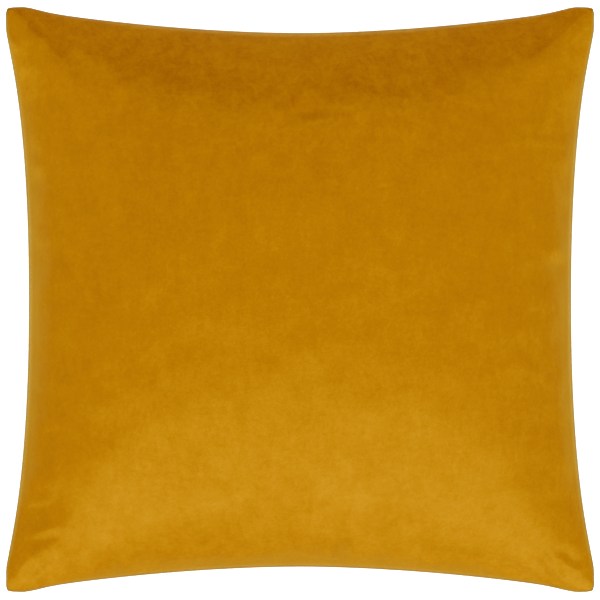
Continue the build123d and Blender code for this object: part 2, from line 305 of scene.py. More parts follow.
# Soft folds in the front panel: from, to, half width and height, in millimetres
FRONT_FOLDS = (
    (176, -194, 192, -213, 3.4, -1.7),
    (150, -196, 172, -209, 5.0, -0.9),
    (206, -196, 194, -186, 5.0, -1.0),
    (-199, -180, -178, -174, 4.0, -0.6),
    (-202, -158, -184, -154, 5.0, -0.4),
    (-205, -204, -186, -192, 4.0, -0.6),
    (-190, -212, -170, -190, 5.0, -0.6),
    (-203, 200, -168, 160, 8.0, 1.1),
    (-190, 208, -150, 180, 8.0, 0.7),
    (203, 203, 172, 170, 8.0, 0.8),
    (190, 211, 160, 186, 6.0, 0.6),
    (2, 130, 38, 131, 4.0, 0.2),
    (75, 124, 112, 111, 4.0, 0.35),
    (157, 117, 198, 116, 4.0, 0.45),
    (102, 15, 121, -8, 5.0, 0.3),
    (161, -45, 195, -67, 5.0, 0.4),
    (-198, -95, -172, -92, 6.0, 0.3),
    (-200, -62, -170, -64, 6.0, 0.3),
)
BACK_FOLDS = (
    (-205, -205, -176, -174, 7.0, 1.0),
    (205, -205, 178, -176, 7.0, 1.0),
    (-203, 203, -170, 168, 8.0, 1.0),
    (203, 203, 172, 170, 8.0, 1.0),
    (-198, 60, -160, 55, 6.0, 0.5),
    (198, -40, 160, -46, 6.0, 0.5),
)


def fold_heights(x, y, folds):
    """Height of soft ridges, each with a shallow valley beside it."""
    total = np.zeros_like(x)
    for x0, y0, x1, y1, width, height in folds:
        start = np.array((x0, y0)) / 1000
        run = np.array((x1, y1)) / 1000 - start
        length = np.hypot(*run)
        run = run / length
        along = ((x - start[0]) * run[0] + (y - start[1]) * run[1]) / length
        across = (-(x - start[0]) * run[1] + (y - start[1]) * run[0]) / (width / 1000)
        fade = smooth_step((along + 0.35) / 0.45) * smooth_step((1.35 - along) / 0.6)
        total += fade * height / 1000 * (np.exp(-(across**2)) - 0.75 * np.exp(-((across - 1.5) ** 2)))
    return total


def puckers(a, b, x, y, seed):
    """Small gathers where the cloth meets its seam."""
    total = np.zeros_like(x)
    lanes = (
        ((1 - a) * HALF_X, y),
        ((1 + a) * HALF_X, y),
        ((1 - b) * HALF_Y, x),
        ((1 + b) * HALF_Y, x),
    )
    for lane, (depth, along) in enumerate(lanes):
        gather = waves(along, 0.15 * depth, seed + lane, 9, 0.011, 0.03, 0.00042)
        uneven = 0.6 + 0.4 * np.sin(along * 31 + lane * 2)
        total += gather * uneven * np.exp(-depth / 0.016) * smooth_step(depth / 0.005)
    return total


def finished_grid(way):
    """The simulated panel with its folds and puckers, twice as fine."""
    grid = blown_panel(way)
    if way < 0:
        lowest = grid[..., 2].min()
        grid[..., 2] = SEAM - (SEAM - grid[..., 2]) * (SEAM - FLOOR_GAP) / (SEAM - lowest)
    grid = finer(finer(grid).transpose(1, 0, 2)).transpose(1, 0, 2)
    t = np.linspace(-1, 1, grid.shape[0])
    a, b = np.meshgrid(t, t)
    x, y = grid[..., 0], grid[..., 1]
    inside = smooth_step((1 - np.maximum(np.abs(a), np.abs(b))) / 0.02)
    heights = fold_heights(x, y, FRONT_FOLDS if way > 0 else BACK_FOLDS) * inside
    heights += puckers(a, b, x, y, 40 if way > 0 else 60)
    heights += waves(x, y, 21 if way > 0 else 22, 30, 0.03, 0.09, 0.00022) * inside
    normals = grid_normals(grid, way)
    grid = grid + normals * heights[..., None]
    if way < 0:
        grid[..., 2] = np.maximum(grid[..., 2], FLOOR_GAP)
    return grid


def panel_piece(name, grid, way):
    """A cover panel: its stuffed face, the turn at the seam and the seam allowance behind it."""
    count = grid.shape[0]
    t = np.linspace(-1, 1, count)
    a, b = np.meshgrid(t, t)
    rim = rim_order(count)
    ra, rb = a.ravel()[rim], b.ravel()[rim]
    share = zip_share(plan(ra, rb)[0], rb)
    # Each step of the turn by its depth behind the edge and its height off the seam plane
    profile = (
        (0.0005 + 0 * share, ALLOWANCE_GAP + LIP_RISE * share),
        (0.0020 + 0.0026 * share, ALLOWANCE_GAP + LIP_RISE * share),
        (0.0070 - 0.0014 * share, ALLOWANCE_GAP + FOLD_RISE * share),
        (ALLOWANCE + (LIP_DEPTH - ALLOWANCE) * share, ALLOWANCE_GAP + FOLD_RISE * share),
    )
    points = [grid.reshape(-1, 3)]
    faces = [grid_faces(count, count, way < 0)]
    before = rim
    for step, (depth, height) in enumerate(profile):
        x, y = plan(ra, rb, depth)
        points.append(np.stack([x, y, SEAM + way * height], -1))
        ring = count * count + step * len(rim) + np.arange(len(rim))
        strip = np.stack([np.roll(before, -1), before, ring, np.roll(ring, -1)], -1)
        faces.append(strip[:, ::-1] if way < 0 else strip)
        before = ring
    points = np.concatenate(points)
    piece = mesh_piece(name, points, np.concatenate(faces))
    # How near the seam each point is, a mask for the painted shade line along the velvet's fold there
    near = np.zeros(len(points))
    near[rim] = 1
    near[count * count :] = 1
    piece.data.attributes.new("near_seam", "FLOAT", "POINT").data.foreach_set("value", near)
    thicken(piece, CLOTH, -1)
    return piece


floor_mesh = bpy.data.meshes.new("floor")
floor_mesh.from_pydata([(-4, -4, 0), (4, -4, 0), (4, 4, 0), (-4, 4, 0)], [], [(0, 1, 2, 3)])
floor = bpy.data.objects.new("floor", floor_mesh)
bpy.context.scene.collection.objects.link(floor)
floor.modifiers.new("table", "COLLISION")
floor.collision.thickness_outer = 0.001
front_grid = finished_grid(1)
back_grid = finished_grid(-1)
floor.modifiers.clear()

front_panel = panel_piece("velvet_front", front_grid, 1)
back_panel = panel_piece("velvet_back", back_grid, -1)


# ---------------------------------------------------------------- the pad
PAD_INSET = 0.018
PAD_CORNER = 0.018
CASING_CLOTH = 0.0005
FIBRE_EDGE = 0.0003


def pad_corner(a, b):
    """How far the pad's corners draw in."""
    return 1 - PAD_CORNER * (a * a * b * b) ** 4


def pad_grid(grid, way, inset, gap, wrinkle):
    """The cover's shape drawn in by an inset at the edge and a gap at the crown."""
    count = grid.shape[0]
    t = np.linspace(-1, 1, count)
    a, b = np.meshgrid(t, t)
    rise = (grid[..., 2] - SEAM) * way
    rim_rise = RIM_RISE + ZIP_RISE * zip_share(grid[..., 0], b)
    crown = rise.max()
    rise = np.maximum(rise - rim_rise, 0) * (crown - gap) / crown
    x = grid[..., 0] * (1 - inset / HALF_X) * pad_corner(a, b)
    y = grid[..., 1] * (1 - inset / HALF_Y) * pad_corner(a, b)
    inside = smooth_step((1 - np.maximum(np.abs(a), np.abs(b))) / 0.15)
    folds = waves(x, y, 71 if way > 0 else 72, 26, 0.014, 0.05, wrinkle)
    rise = rise - (np.abs(folds) + 0.0002) * inside
    z = SEAM + way * np.maximum(rise, 0)
    return np.dstack([x, y, z])


def casing_piece(name, cover_grid, way):
    """One side of the pad's casing, a little wrinkled."""
    grid = pad_grid(cover_grid[::2, ::2], way, PAD_INSET, gap=0.0024, wrinkle=0.0012)
    count = grid.shape[0]
    piece = mesh_piece(name, grid.reshape(-1, 3), grid_faces(count, count, way < 0))
    thicken(piece, CASING_CLOTH, -1)
    return piece


def filling_piece():
    """Loose fibre, as one closed body inside the casing."""
    inset = PAD_INSET + 0.0016
    upper = pad_grid(front_grid[::2, ::2], 1, inset, gap=0.0046, wrinkle=0.0022)
    lower = pad_grid(back_grid[::2, ::2], -1, inset, gap=0.0046, wrinkle=0.0022)
    count = upper.shape[0]
    rim = rim_order(count)
    points = np.concatenate([upper.reshape(-1, 3), lower.reshape(-1, 3)])
    below = rim + count * count
    wall = np.stack([np.roll(rim, -1), rim, below, np.roll(below, -1)], -1)
    points[rim, 2] = SEAM + FIBRE_EDGE
    points[below, 2] = SEAM - FIBRE_EDGE
    faces = [
        grid_faces(count, count),
        grid_faces(count, count, True) + count * count,
        wall,
    ]
    return mesh_piece("fibre_filling", points, np.concatenate(faces))


casing_front = casing_piece("casing_front", front_grid, 1)
casing_back = casing_piece("casing_back", back_grid, -1)
filling = filling_piece()


# ---------------------------------------------------------------- stitches
def edge_runs(pitch, tip_room, skip_zip=0.0):
    """Start and end of each stitch along the four edges, as arrays of a, b, a and b."""
    runs = []
    for fixed, half in (("top", HALF_X), ("zip", HALF_X), ("left", HALF_Y), ("right", HALF_Y)):
        end = 1 - tip_room / half
        count = int(2 * end * half / pitch)
        t = np.linspace(-end, end, count + 1)
        begin, finish = t[:-1], t[1:]
        if fixed == "zip" and skip_zip:
            keep = np.minimum(np.abs(begin), np.abs(finish)) * HALF_X > skip_zip
            begin, finish = begin[keep], finish[keep]
        one = np.ones_like(begin)
        if fixed == "top":
            runs.append((begin, one, finish, one))
        elif fixed == "zip":
            runs.append((begin, -one, finish, -one))
        elif fixed == "left":
            runs.append((-one, begin, -one, finish))
        else:
            runs.append((one, begin, one, finish))
    return [np.concatenate(part) for part in zip(*runs)]


# A stitch dips into the cloth at both ends: its steps along, its lift in radii and its roundness
STITCH_STEPS = np.array((0.06, 0.16, 0.32, 0.5, 0.68, 0.84, 0.94))
STITCH_LIFT = np.array((-1.0, -0.25, 0.15, 0.3, 0.15, -0.25, -1.0))
STITCH_ROUND = np.array((0.5, 0.9, 1.0, 1.0, 1.0, 0.9, 0.5))


def lockstitches(name, lines, radius):
    """Stitches on faces of cloth: lines holds (starts, ends, up) with one row a stitch."""
    strands = []
    for starts, ends, up in lines:
        middle = starts[:, None] + (ends - starts)[:, None] * STITCH_STEPS[None, :, None]
        strands.append(middle + np.array(up) * STITCH_LIFT[None, :, None] * radius)
    return tubes(name, np.concatenate(strands), radius * STITCH_ROUND, (0.01, 0.02, 1.0))


def edge_points(a, b, inset, height):
    """Points behind the cover's edges, at one height off the seam plane."""
    x, y = plan(a, b, inset)
    return np.stack([x, y, np.full_like(x, SEAM + height)], -1)


THREAD = 0.0002
SEAM_INSET = 0.0064


def cover_stitches():
    """The seam's lockstitch, on the outside of both allowances."""
    a0, b0, a1, b1 = edge_runs(pitch=0.0030, tip_room=0.011, skip_zip=OPENING + 0.001)
    lines = []
    for side in (1, -1):
        height = side * (ALLOWANCE_TOP + THREAD)
        starts = edge_points(a0, b0, SEAM_INSET, height)
        ends = edge_points(a1, b1, SEAM_INSET, height)
        lines.append((starts, ends, (0, 0, side)))
    return lockstitches("lockstitch_cover", lines, THREAD)


# An overlock loop over the allowances' cut edges: depth behind the edge and height off the seam
WRAP = (
    (0.0094, 0.00136),
    (0.0106, 0.00146),
    (0.0118, 0.00146),
    (0.01235, 0.0011),
    (0.0126, 0.0),
    (0.01235, -0.0011),
    (0.0118, -0.00146),
    (0.0106, -0.00146),
    (0.0094, -0.00136),
)


def overlock_loops():
    """Slanted loops of thread, one after the other along the four edges."""
    a0, b0, a1, b1 = edge_runs(pitch=0.0022, tip_room=0.016, skip_zip=OPENING + 0.003)
    wraps = []
    for step, (depth, height) in enumerate(WRAP):
        share = step / (len(WRAP) - 1)
        a = a0 + (a1 - a0) * share
        b = b0 + (b1 - b0) * share
        wraps.append(edge_points(a, b, depth, height))
    return tubes("overlock_cover", np.stack(wraps, 1), THREAD * 0.9, (0.31, 0.29, 0.11), 5)


seam_thread = cover_stitches()
overlock = overlock_loops()

# ---------------------------------------------------------------- the zip
def along_zip(x, depth):
    """How far along the zip a place at x is, at a depth behind the edge."""
    return (EDGE_RADIUS + TAPE_DEPTH) * math.asin(x / (EDGE_RADIUS + depth))


coil_low, coil_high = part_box("zip_coil_front")
CHAIN_START = along_zip(coil_low.x, TAPE_DEPTH)
CHAIN_END = along_zip(coil_high.x, TAPE_DEPTH)
TAPE_HALF = along_zip(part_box("zip_tape_front")[1].x, LIP_DEPTH)

# The coil: an oval helix in front of the tape, with a wire this thick
COIL_PITCH = 0.00125
COIL_STEPS = 12
COIL_ROOM = 0.0005
COIL_REACH_OUT = 0.00053
COIL_REACH_UP = 0.00067
COIL_DEPTH = TAPE_DEPTH - 0.00077
COIL_HEIGHT = 0.00121
COIL_WIRE = 0.00021

# The tape: its face behind the coil, its bend and its leg along the fold
TAPE_FACE = 0.00825
TAPE_BEND = 0.0004
TAPE_LEG_HEIGHT = 0.00425
TAPE_THICKNESS = 0.00042
TAPE_STITCH_DEPTH = 0.0124
TAPE_STITCH_HEIGHT = 0.00401


def coil_piece(side, way):
    """One coil, from end to end of the chain."""
    turns = int((CHAIN_END - CHAIN_START - 2 * COIL_ROOM) / COIL_PITCH)
    step = np.arange(turns * COIL_STEPS + 1) / COIL_STEPS
    along = CHAIN_START + COIL_ROOM + step * COIL_PITCH
    turn = step * 2 * np.pi
    out = COIL_REACH_OUT * np.cos(turn)
    up = way * COIL_REACH_UP * np.sin(turn)
    line = zip_point(along, COIL_DEPTH + out, way * COIL_HEIGHT + up)
    middle = zip_point(along, COIL_DEPTH, way * COIL_HEIGHT)
    return tubes(f"coil_{side}", line[None], COIL_WIRE, unit(line - middle)[None], 6)


def tape_piece(side, way):
    """One tape: across from the coil, round a bend and back along its fold."""
    bend = np.linspace(0, np.pi / 2, 6)
    turn_depth = TAPE_FACE + TAPE_BEND
    turn_height = TAPE_LEG_HEIGHT - TAPE_BEND
    depth = np.concatenate(
        [np.full(10, TAPE_FACE), turn_depth - TAPE_BEND * np.cos(bend), np.linspace(0.0093, 0.0159, 12)]
    )
    height = np.concatenate(
        [
            np.linspace(0.00075, 0.0038, 10),
            turn_height + TAPE_BEND * np.sin(bend),
            np.full(12, TAPE_LEG_HEIGHT),
        ]
    )
    along = np.linspace(-TAPE_HALF + 0.0001, TAPE_HALF - 0.0001, 240)
    ripple = 0.00004 * np.sin(along / 0.0025 * 2 * np.pi)[:, None]
    sheet = zip_point(along[:, None], depth[None], way * (height[None] - ripple))
    faces = grid_faces(len(along), len(depth), way > 0)
    tape = mesh_piece(f"tape_{side}", sheet.reshape(-1, 3), faces)
    thicken(tape, TAPE_THICKNESS, 0)
    return tape


def tape_stitches(side, way):
    """The lockstitch that holds one tape to its fold."""
    count = int(2 * TAPE_HALF / 0.0028)
    place = np.linspace(-TAPE_HALF + 0.001, TAPE_HALF - 0.001, count + 1)
    height = way * (TAPE_STITCH_HEIGHT - THREAD)
    starts = zip_point(place[:-1], TAPE_STITCH_DEPTH, height)
    ends = zip_point(place[1:], TAPE_STITCH_DEPTH, height)
    return lockstitches(f"zip_seam_{side}", [(starts, ends, (0, 0, -way))], THREAD)


zip_pieces = {}
for side, way in (("front", 1), ("back", -1)):
    zip_pieces[f"zip_coil_{side}"] = coil_piece(side, way)
    zip_pieces[f"zip_tape_{side}"] = tape_piece(side, way)
    zip_pieces[f"zip_stitching_{side}"] = tape_stitches(side, way)

# Bar tacks: two layers of close zigzags from lip to lip, at each end of the opening
TACK_TURNS = 9
TACK_LENGTH = 0.0016
TACK_START = OPENING - 0.00172
TACK_DEPTH = 0.0069
TACK_LAYER = 0.00036
TACK_HEIGHT = 0.0042
TACK_BOW = 0.00012


def tack_strand(end, layer, swing):
    """One swing of a zigzag, slightly bowed."""
    share = np.linspace(0, 1, 9)
    start, finish = (end * (TACK_START + k / TACK_TURNS * TACK_LENGTH) for k in (swing, swing + 1))
    height = TACK_HEIGHT if (swing + layer) % 2 else -TACK_HEIGHT
    depth = TACK_DEPTH + layer * TACK_LAYER - TACK_BOW * np.sin(share * np.pi)
    return zip_point(start + (finish - start) * share, depth, height - 2 * height * share)


tacks = [
    tack_strand(end, layer, swing)
    for end in (-1, 1)
    for layer in range(2)
    for swing in range(TACK_TURNS)
]
bar_tacks = tubes("bar_tacks", np.array(tacks), THREAD * 0.95, (0.05, 1.0, 0.02), 6)

# ---------------------------------------------------------------- care label
label_low, label_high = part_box("care_label")
LABEL_LAYER = 0.00024
LABEL_BEND = 0.001


def label_piece():
    """A satin strip, folded double: both ends in the seam and the fold standing up."""
    foot = label_low.z + 0.00008
    turn_x = label_high.x - 0.00022
    flat = np.linspace(label_low.x + 0.0002, turn_x - 0.0012, 8)
    bend = np.linspace(0, np.pi / 2, 5)
    outer_x = np.concatenate([flat, turn_x - LABEL_BEND + LABEL_BEND * np.sin(bend)])
    outer_z = np.concatenate([np.full(8, foot), foot + LABEL_BEND - LABEL_BEND * np.cos(bend)])
    rise = np.linspace(foot + 0.0014, label_high.z - 0.0004, 8)
    loop = np.linspace(0, np.pi, 7)
    top_x = turn_x - LABEL_LAYER / 2 + LABEL_LAYER / 2 * np.cos(loop)
    top_z = label_high.z - 0.00035 + LABEL_LAYER * np.sin(loop)
    inner_x = np.minimum(outer_x, turn_x)
    inner_x = inner_x - LABEL_LAYER * smooth_step((outer_x - turn_x + 0.0012) / 0.0012)
    inner_z = outer_z + LABEL_LAYER
    # The strip's line, out along one layer, over the fold and back along the other
    front, back = np.full(8, turn_x), np.full(8, turn_x - LABEL_LAYER)
    line_x = np.concatenate([outer_x, front, top_x, back, inner_x[::-1]])
    line_z = np.concatenate([outer_z, rise, top_z, rise[::-1], inner_z[::-1]])
    across = np.linspace(label_low.y + 0.0002, label_high.y - 0.0002, 25)
    x, y = np.meshgrid(line_x, across)
    z = np.broadcast_to(line_z, x.shape)
    points = np.stack([x, y, z], -1).reshape(-1, 3)
    piece = mesh_piece("satin_label", points, grid_faces(len(across), len(line_x)))
    length = np.hypot(np.diff(line_x), np.diff(line_z)).sum()
    thicken(piece, 0.00014, 0)
    return piece, length


label, label_length = label_piece()

# ---------------------------------------------------------------- pad seam
PAD_TIP = 0.018
PAD_THREAD = 0.00022
SLIP_THREAD = 0.00017
SLIP_SWING = 0.00018
SLIP_COUNT = 30
CLOSING = 0.075


def pad_edge(a, b, outward):
    """Points on the pad's edge, or a little outward from it."""
    x, y = plan(a, b)
    x = x * (1 - (PAD_INSET - outward) / HALF_X) * pad_corner(a, b)
    y = y * (1 - (PAD_INSET - outward) / HALF_Y) * pad_corner(a, b)
    return np.stack([x, y, np.full_like(x, SEAM)], -1)


def pad_stitches():
    """The machine seam round the pad, but for the stretch that is closed by hand."""
    a0, b0, a1, b1 = edge_runs(pitch=0.0032, tip_room=PAD_TIP)
    far = np.maximum(np.abs(a0), np.abs(a1)) * HALF_X
    keep = ~((b0 > 0.99) & (b1 > 0.99) & (far < CLOSING))
    starts = pad_edge(a0[keep], b0[keep], 0.00036)
    ends = pad_edge(a1[keep], b1[keep], 0.00036)
    return lockstitches("lockstitch_pad", [(starts, ends, (0, 0, 1))], PAD_THREAD)


def slip_stitches():
    """Uneven hand stitches that closed the pad after it was filled."""
    draw = np.random.default_rng(5)
    place = np.linspace(-CLOSING + 0.002, CLOSING - 0.002, SLIP_COUNT + 1) / HALF_X
    place[1:-1] += draw.uniform(-0.0006, 0.0006, SLIP_COUNT - 1) / HALF_X
    share = np.linspace(0, 1, 9)
    slips = []
    for k in range(SLIP_COUNT):
        row = pad_edge(place[k] + (place[k + 1] - place[k]) * share, np.ones(9), 0.0003)
        row[:, 1] += SLIP_SWING * np.sin(share * np.pi)
        row[:, 2] += (SLIP_SWING if k % 2 else -SLIP_SWING) * np.cos(share * np.pi)
        slips.append(row)
    return tubes("slipstitch_pad", np.array(slips), SLIP_THREAD, (0.02, 0.03, 1.0), 6)


pad_seam = pad_stitches()
closing_stitch = slip_stitches()


# ---------------------------------------------------------------- materials
class Shader:
    """A material's node tree, with short calls for the nodes used here."""

    def __init__(self, name):
        self.material = bpy.data.materials.new(name)
        self.material.use_nodes = True
        self.nodes = self.material.node_tree.nodes
        self.links = self.material.node_tree.links
        self.surface = self.nodes["Principled BSDF"]
        self.place = self.nodes.new("ShaderNodeTexCoord")

    def join(self, source, target):
        """Links a socket to an input, or sets the input to a plain value."""
        if isinstance(source, bpy.types.NodeSocket):
            self.links.new(source, target)
        else:
            target.default_value = source

    def stretched(self, scale):
        mapping = self.nodes.new("ShaderNodeMapping")
        mapping.inputs["Scale"].default_value = scale
        self.links.new(self.place.outputs["Object"], mapping.inputs["Vector"])
        return mapping.outputs["Vector"]

    def noise(self, scale, detail=2.0, roughness=0.5, distortion=0.0, stretch=None):
        noise = self.nodes.new("ShaderNodeTexNoise")
        noise.inputs["Scale"].default_value = scale
        noise.inputs["Detail"].default_value = detail
        noise.inputs["Roughness"].default_value = roughness
        noise.inputs["Distortion"].default_value = distortion
        source = self.stretched(stretch) if stretch else self.place.outputs["Object"]
        self.links.new(source, noise.inputs["Vector"])
        return noise.outputs["Fac"]

    def wave(self, scale, direction, distortion=0.0):
        wave = self.nodes.new("ShaderNodeTexWave")
        wave.bands_direction = direction
        wave.inputs["Scale"].default_value = scale
        wave.inputs["Distortion"].default_value = distortion
        self.links.new(self.place.outputs["Object"], wave.inputs["Vector"])
        return wave.outputs["Fac"]

    def math(self, operation, first, second):
        node = self.nodes.new("ShaderNodeMath")
        node.operation = operation
        self.join(first, node.inputs[0])
        self.join(second, node.inputs[1])
        return node.outputs[0]

    def mix(self, factor, first, second, way="MIX"):
        """Blends two colours."""
        mix = self.nodes.new("ShaderNodeMix")
        mix.data_type = "RGBA"
        mix.blend_type = way
        self.join(factor, mix.inputs["Factor"])
        self.join(first, mix.inputs[6])
        self.join(second, mix.inputs[7])
        return mix.outputs[2]

    def sum(self, *terms):
        """Adds (socket, factor, middle) terms as factor * (socket - middle)."""
        total = None
        for socket, factor, middle in terms:
            node = self.nodes.new("ShaderNodeMath")
            node.operation = "MULTIPLY_ADD"
            self.links.new(socket, node.inputs[0])
            node.inputs[1].default_value = factor
            if total is None:
                node.inputs[2].default_value = -factor * middle
            else:
                self.links.new(self.math("ADD", total, -factor * middle), node.inputs[2])
            total = node.outputs[0]
        return total

    def ramp(self, value, stops):
        """A colour, or a grey where the stops hold plain numbers, for each value."""
        ramp = self.nodes.new("ShaderNodeValToRGB")
        elements = ramp.color_ramp.elements
        while len(elements) < len(stops):
            elements.new(0.5)
        for element, (position, colour) in zip(elements, stops):
            element.position = position
            element.color = (*colour, 1) if isinstance(colour, tuple) else (colour, colour, colour, 1)
        self.links.new(value, ramp.inputs["Fac"])
        return ramp.outputs["Color"]

    def bump(self, height, strength, distance):
        bump = self.nodes.new("ShaderNodeBump")
        bump.inputs["Strength"].default_value = strength
        bump.inputs["Distance"].default_value = distance
        self.links.new(height, bump.inputs["Height"])
        self.links.new(bump.outputs["Normal"], self.surface.inputs["Normal"])

    def set(self, **values):
        """Sets the surface's inputs by name, with _ for a space."""
        for name, value in values.items():
            self.join(value, self.surface.inputs[name.replace("_", " ")])


# Painted light and shade, partly also the way the nap leans: the colour is lighter where the cloth
# faces -Y, the key lamp's side, and darker where it faces +Y; by which way the cloth faces: 0 faces -Y,
# 0.5 up and 1 faces +Y
NAP_LEAN_AND_PAINTED_LIGHT = (
    (0.0, 0.46),
    (0.15, 0.59),
    (0.30, 0.80),
    (0.42, 0.74),
    (0.48, 0.51),
    (0.55, 0.45),
    (0.62, 0.40),
    (0.685, 0.35),
    (0.72, 0.18),
    (1.0, 0.26),
)
# How much its crushed specks show, by the same measure
CRUSH_SHARE = (
    (0.0, 0.3),
    (0.55, 0.2),
    (0.70, 1.0),
    (1.0, 1.0),
)
# How much painted sheen, a lighter and greyer colour, is mixed in where the cloth turns steeply away,
# from facing -X to +X and from facing -Y to +Y
SIDE_PAINTED_SHEEN = (
    (0.0, 0.95),
    (0.09, 0.7),
    (0.17, 0.0),
    (0.83, 0.0),
    (0.91, 0.7),
    (1.0, 0.95),
)
END_PAINTED_SHEEN = (
    (0.0, 0.7),
    (0.11, 0.5),
    (0.17, 0.0),
    (0.92, 0.0),
    (1.0, 0.3),
)
VELVET_TONES = (
    (0.0, (0.256, 0.078, 0.0002)),
    (0.5, (0.344, 0.137, 0.0003)),
    (0.7, (0.386, 0.172, 0.0022)),
    (1.0, (0.448, 0.222, 0.0110)),
)
# The painted sheen's lighter, greyer colour
PAINTED_SHEEN_COLOUR = (0.355, 0.184, 0.010, 1)
# Painted shade: how much darker the colour is near the seam's fold
SEAM_PAINTED_SHADE = (
    (0.6, (1.0, 1.0, 1.0)),
    (1.0, (0.62, 0.53, 0.5)),
)


def velvet_material():
    """Velvet: its colour is lighter or darker by which way it faces, partly as its nap leans and partly
    as painted light and shade, with painted sheen where it turns steeply away and painted shade along
    the seam; it is brushed and crushed.
    """
    shader = Shader("velvet")
    split = shader.nodes.new("ShaderNodeSeparateXYZ")
    shader.links.new(shader.place.outputs["Normal"], split.inputs[0])
    patches = shader.noise(40.0, 3.0, 0.55, 0.6, (1.0, 0.75, 1.0))
    facing = shader.sum((split.outputs["Y"], 0.5, -1.0), (patches, 0.09, 0.5))
    # Painted light and shade, partly the way the nap leans, by which way the cloth faces
    lean_and_painted_light = shader.ramp(facing, NAP_LEAN_AND_PAINTED_LIGHT)
    broad = shader.noise(6.0, 1.0, 0.4)
    upright = shader.noise(150.0, 2.0, 0.6, 0.4, (1.0, 0.4, 1.0))
    level = shader.noise(135.0, 2.0, 0.6, 0.4, (0.4, 1.0, 1.0))
    pile = shader.noise(330.0, 2.0, 0.7, 0.3)
    tips = shader.noise(760.0, 2.0, 0.7)
    # Crushed specks, strongest where the cloth faces +Y
    crush = shader.noise(105.0, 4.0, 0.72, 0.9, (1.0, 0.8, 1.0))
    crushed = shader.math("MULTIPLY", shader.sum((crush, 1.0, 0.5)), shader.ramp(facing, CRUSH_SHARE))
    tone = shader.sum(
        (crushed, 0.75, 0.0),
        (lean_and_painted_light, 1.0, 0.0),
        (broad, 0.22, 0.5),
        (patches, 0.30, 0.5),
        (upright, 0.20, 0.5),
        (level, 0.16, 0.5),
        (pile, 0.30, 0.5),
        (tips, 0.30, 0.5),
    )
    # Painted sheen: where the cloth turns down to the sides, a lighter, greyer colour is mixed in
    side = shader.ramp(shader.sum((split.outputs["X"], 0.5, -1.0), (patches, 0.10, 0.5)), SIDE_PAINTED_SHEEN)
    end = shader.ramp(shader.sum((split.outputs["Y"], 0.5, -1.0), (patches, 0.10, 0.5)), END_PAINTED_SHEEN)
    painted_sheen = shader.math("MAXIMUM", side, end)
    colour = shader.mix(painted_sheen, shader.ramp(tone, VELVET_TONES), PAINTED_SHEEN_COLOUR)
    # Painted shade: the colour is darkened along the seam's fold
    seam = shader.nodes.new("ShaderNodeAttribute")
    seam.attribute_name = "near_seam"
    shade = shader.ramp(seam.outputs["Fac"], SEAM_PAINTED_SHADE)
    colour = shader.mix(1.0, colour, shade, "MULTIPLY")
    fibres = shader.noise(2600.0, 2.0, 0.7)
    relief = shader.sum((fibres, 1.0, 0.5), (upright, 0.6, 0.5), (level, 0.5, 0.5), (patches, 0.8, 0.5))
    shader.bump(relief, 0.35, 0.0006)
    shader.set(Base_Color=colour, Roughness=0.95)
    shader.set(Specular_IOR_Level=0.0, Sheen_Weight=0.32, Sheen_Roughness=0.30)
    shader.set(Sheen_Tint=(1.0, 0.90, 0.30, 1))
    return shader.material


def thread_material(name, dark, light):
    """Twisted thread, a little fluffy."""
    shader = Shader(name)
    twist = shader.wave(900.0, "DIAGONAL", 1.5)
    fluff = shader.noise(1500.0, 3.0, 0.6)
    tone = shader.sum((twist, 0.7, 0.0), (fluff, 0.3, 0.0))
    shader.set(Base_Color=shader.ramp(tone, ((0.1, dark), (0.9, light))), Roughness=0.55)
    shader.bump(tone, 0.5, 0.00008)
    shader.set(Sheen_Weight=0.2)
    return shader.material


def weave_material(name, dark, light, pitch, roughness, distance):
    """Plain weave: crossed ribs about a pitch apart, with uneven yarns this far out."""
    shader = Shader(name)
    warp = shader.wave(1 / pitch, "X", 0.6)
    weft = shader.wave(1 / pitch, "Y", 0.6)
    rise = shader.wave(1 / pitch, "Z", 0.6)
    slub = shader.noise(0.35 / pitch, 3.0, 0.6)
    tone = shader.sum((warp, 0.25, 0.0), (weft, 0.25, 0.0), (rise, 0.15, 0.0), (slub, 0.35, 0.0))
    shader.set(Base_Color=shader.ramp(tone, ((0.15, dark), (0.85, light))), Roughness=roughness)
    shader.bump(tone, 0.5, distance)
    shader.set(Sheen_Weight=0.15)
    return shader.material


def metal_material(name):
    """Lacquered brass in the velvet's colour, dulled by handling."""
    shader = Shader(name)
    worn = shader.noise(260.0, 4.0, 0.6)
    fine = shader.noise(1800.0, 2.0, 0.6)
    colour = shader.ramp(worn, ((0.3, (0.30, 0.155, 0.018)), (0.7, (0.44, 0.245, 0.035))))
    rough = shader.sum((worn, 0.25, -0.9), (fine, 0.15, 0.5))
    shader.set(Base_Color=colour, Metallic=0.55, Roughness=rough, Coat_Weight=0.5)
    shader.bump(fine, 0.15, 0.00005)
    return shader.material


def coil_material(name):
    """Dyed nylon."""
    shader = Shader(name)
    cloud = shader.noise(500.0, 3.0, 0.6)
    shader.set(
        Base_Color=shader.ramp(cloud, ((0.3, (0.38, 0.17, 0.008)), (0.7, (0.48, 0.24, 0.016)))),
        Roughness=shader.sum((cloud, 0.2, -1.4)),
    )
    return shader.material


def fibre_material(name):
    """White hollow fibre in tangled clumps."""
    shader = Shader(name)
    tangle = shader.noise(300.0, 6.0, 0.75, 2.5)
    clumps = shader.noise(40.0, 3.0, 0.6)
    tone = shader.sum((tangle, 0.6, 0.0), (clumps, 0.4, 0.0))
    shader.set(
        Base_Color=shader.ramp(tone, ((0.3, (0.70, 0.70, 0.67)), (0.7, (0.88, 0.88, 0.86)))),
        Roughness=0.95,
    )
    shader.bump(tone, 0.9, 0.002)
    shader.set(Sheen_Weight=0.4)
    return shader.material


